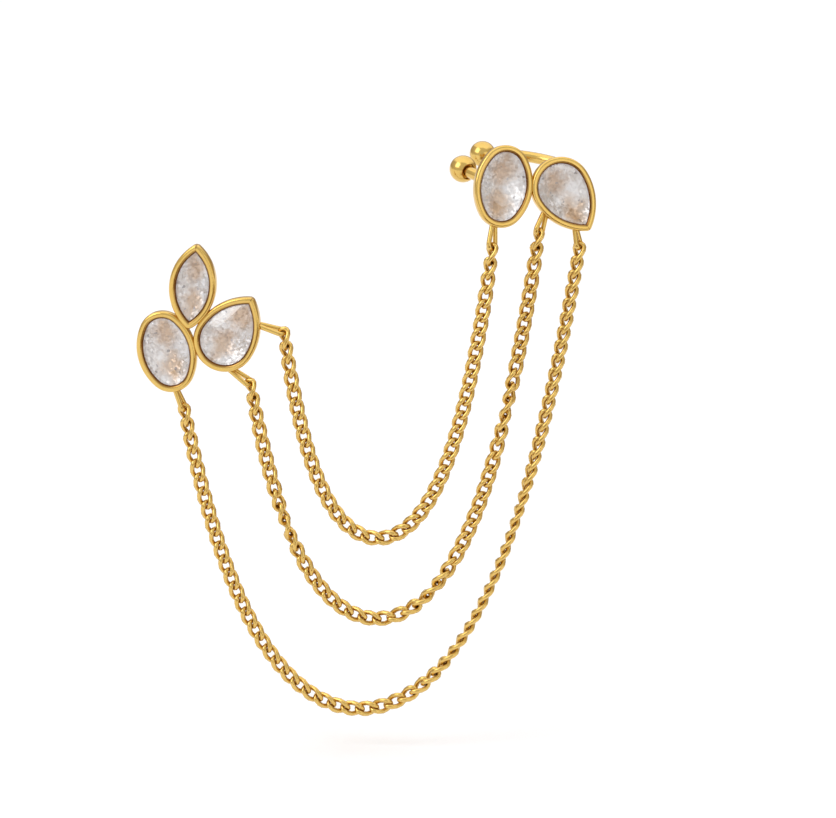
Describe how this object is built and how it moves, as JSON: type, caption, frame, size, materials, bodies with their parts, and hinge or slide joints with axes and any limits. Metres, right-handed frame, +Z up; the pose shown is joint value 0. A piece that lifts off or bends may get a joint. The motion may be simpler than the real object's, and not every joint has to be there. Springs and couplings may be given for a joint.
{
  "type": "tassel earring",
  "caption": "Earring with a stone-set stud for the lobe and a stone-set open cuff for the rim of the ear, joined by draped curb chains.",
  "frame": {"origin": "where the ear post leaves the flat back of the stud's pear cup, which is where the earring is pinned on", "axes": "+X to the right, from the stud towards the cuff; +Z up as it hangs; +Y back into the ear, along the post, so the stones face -Y"},
  "size_m": [0.0428, 0.0205, 0.0558],
  "materials": {
    "gold": "polished gold plate",
    "stone": "cut and polished, colourless",
    "chain_gold": "polished gold plate"
  },
  "bodies": {
    "root": {"stud_setting": "gold", "cuff_setting": "gold", "front_ball": "gold", "back_ball": "gold", "stud_oval_stone": "stone", "stud_marquise_stone": "stone", "stud_pear_stone": "stone", "cuff_oval_stone": "stone", "cuff_pear_stone": "stone", "inner_chain": "chain_gold", "middle_chain": "chain_gold", "outer_chain": "chain_gold"}
  },
  "joints": []
}
